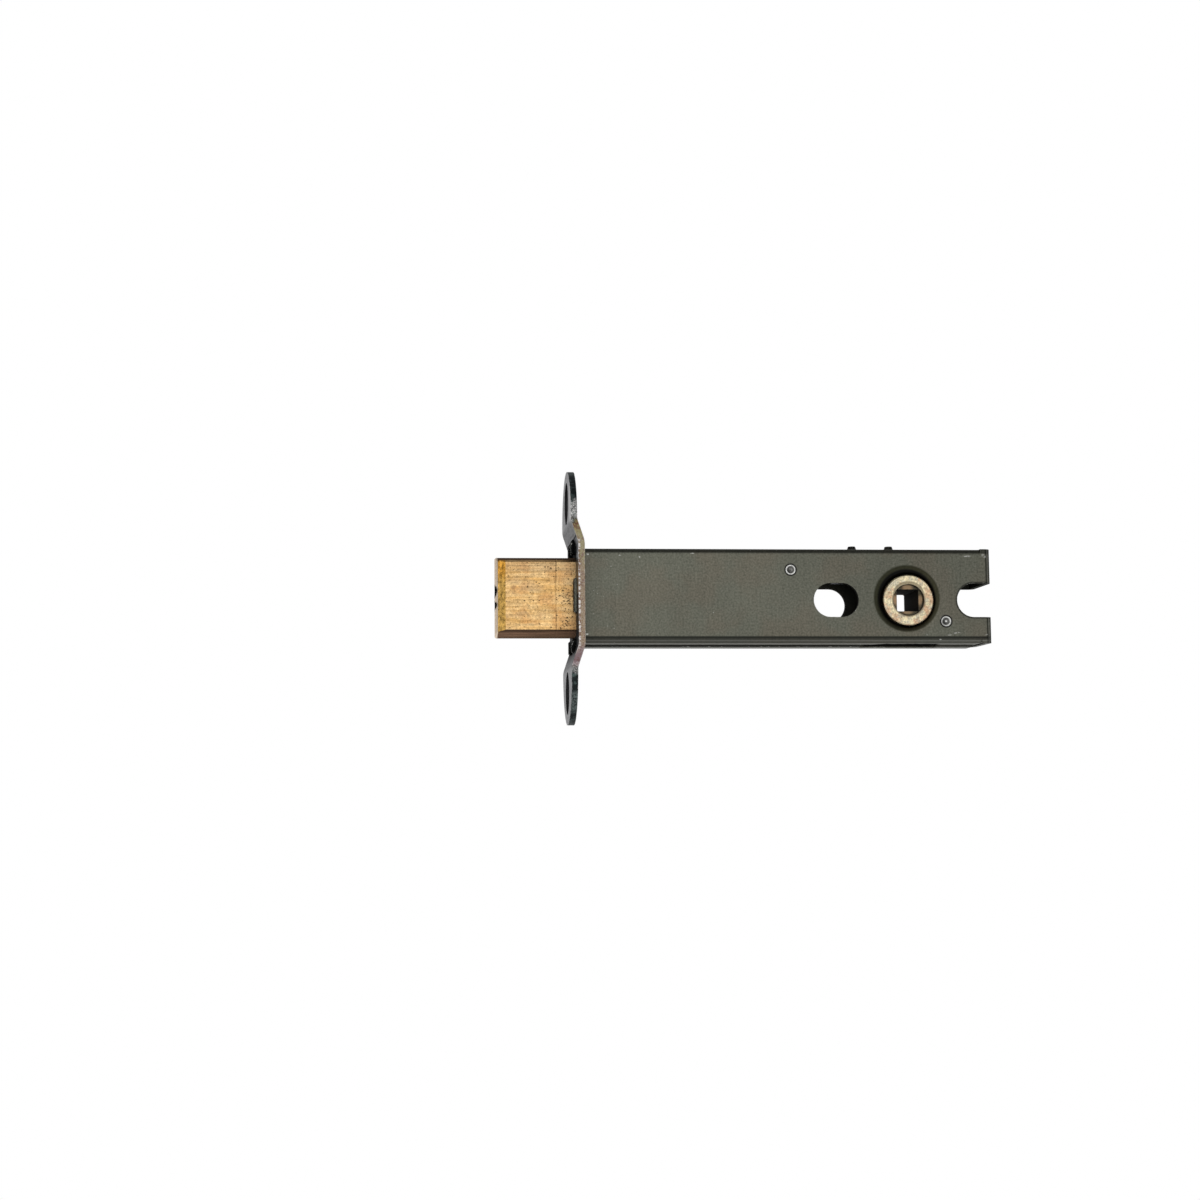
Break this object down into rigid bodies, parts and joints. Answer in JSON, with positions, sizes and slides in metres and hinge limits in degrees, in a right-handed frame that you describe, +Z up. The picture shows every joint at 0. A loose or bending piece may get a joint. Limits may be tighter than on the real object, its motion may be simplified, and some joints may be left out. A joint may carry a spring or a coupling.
{
  "type": "tubular deadbolt",
  "caption": "Tubular mortice deadbolt: a flatted round brass bolt thrown from a folded black steel case by a square-holed follower, behind an eared forend plate.",
  "frame": {"origin": "midway between the two screw holes of the forend plate, on the front face of its ears and on the bolt's centre line", "axes": "+X into the door along the bolt, +Z up, -Y out of the near side of the case"},
  "size_m": [0.117, 0.025, 0.06],
  "materials": {
    "case_black": "satin dark olive-black oxide on folded steel",
    "forend_steel": "dull zinc-plated pressed steel",
    "bolt_brass": "drawn brass with lengthwise lines",
    "hardened_steel": "dark hardened steel",
    "tail_steel": "plain cold-rolled steel",
    "follower_bronze": "mottled pale bronze, sintered",
    "spring_steel": "blued spring steel",
    "rivet_black": "blackened steel",
    "pin_steel": "bright steel with dished ends"
  },
  "bodies": {
    "housing": {"case": "case_black", "forend_plate": "forend_steel", "front_pin": "pin_steel", "rear_pin": "pin_steel", "detent_spring": "spring_steel", "spring_rivet_front": "rivet_black", "spring_rivet_rear": "rivet_black"},
    "follower": {"follower": "follower_bronze"},
    "bolt": {"bolt_head": "bolt_brass", "hardened_pin_upper": "hardened_steel", "hardened_pin_lower": "hardened_steel", "bolt_tail": "tail_steel", "tail_rivet_front": "tail_steel", "tail_rivet_rear": "tail_steel"}
  },
  "joints": [
    {"name": "follower_turn", "type": "hinge", "parent": "housing", "child": "follower", "pos_m": [0.08, 0, -0.001], "axis": [0, -1, 0], "range_deg": [0, 90], "deforming": ["detent_spring"]},
    {"name": "bolt_slide", "type": "slide", "parent": "housing", "child": "bolt", "axis": [1, 0, 0], "range_m": [0, 0.01259]}
  ],
  "couplings": [
    {"joint": "follower_turn", "follows": "bolt_slide", "rad_per_m": 124.8}
  ]
}
